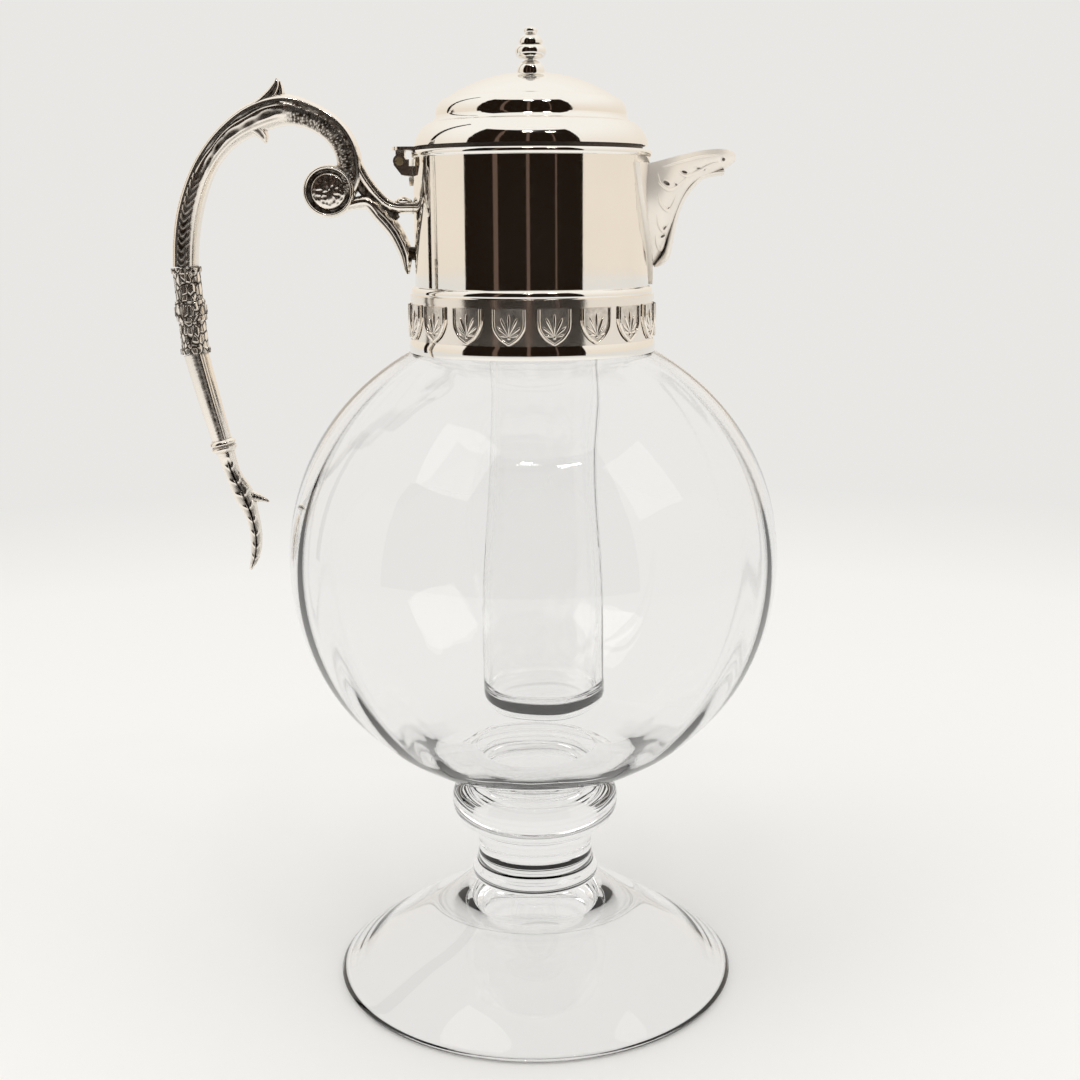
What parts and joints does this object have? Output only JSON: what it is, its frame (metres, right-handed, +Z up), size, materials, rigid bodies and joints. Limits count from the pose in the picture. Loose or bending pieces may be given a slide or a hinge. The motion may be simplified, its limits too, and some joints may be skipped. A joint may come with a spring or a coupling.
{
  "type": "lemonade jug",
  "caption": "Footed glass globe jug with a plated collar, hinged domed lid, cast spout, scrolled handle and a hanging glass ice tube that lifts out.",
  "frame": {"origin": "centre of the foot's flat resting ring, on the vessel's axis", "axes": "+Z up the vessel's axis, +X towards the spout, -X towards the hinge and handle, +Y across the jug"},
  "size_m": [0.19, 0.156, 0.305],
  "materials": {
    "clear_glass": "clear, blown and fire-polished",
    "silver_plate": "polished silver plate on spun brass",
    "cast_plate": "silver plate on cast brass, darkened in the recesses",
    "plain_brass": "plain turned brass",
    "soft_gasket": "translucent silicone",
    "plaster": "set plaster"
  },
  "bodies": {
    "jug": {"glass_bowl": "clear_glass", "glass_pedestal": "clear_glass", "neck_bedding": "plaster", "collar_cylinder": "silver_plate", "collar_rim": "silver_plate", "collar_bead": "silver_plate", "frieze_band": "silver_plate", "base_moulding": "silver_plate", "tube_seat": "silver_plate", "spout": "cast_plate", "handle_arm": "cast_plate", "handle_ferrule": "cast_plate", "handle_tail": "cast_plate", "handle_screws": "plain_brass", "handle_washers": "plain_brass", "hinge_bracket": "cast_plate", "hinge_pin": "plain_brass"},
    "lid": {"lid_shell": "silver_plate", "lid_bezel": "silver_plate", "finial": "silver_plate", "finial_washer": "plain_brass", "finial_nut": "plain_brass", "hinge_leaf": "cast_plate", "hinge_rivets": "plain_brass"},
    "tube": {"ice_tube": "clear_glass", "tube_gasket": "soft_gasket"}
  },
  "joints": [
    {"name": "lid_hinge", "type": "hinge", "parent": "jug", "child": "lid", "pos_m": [-0.0399, 0, 0.2657], "axis": [0, -1, 0], "range_deg": [0, 88]},
    {"name": "tube_lift", "type": "slide", "parent": "jug", "child": "tube", "axis": [0, 0, 1], "range_m": [0, 0.008]}
  ]
}
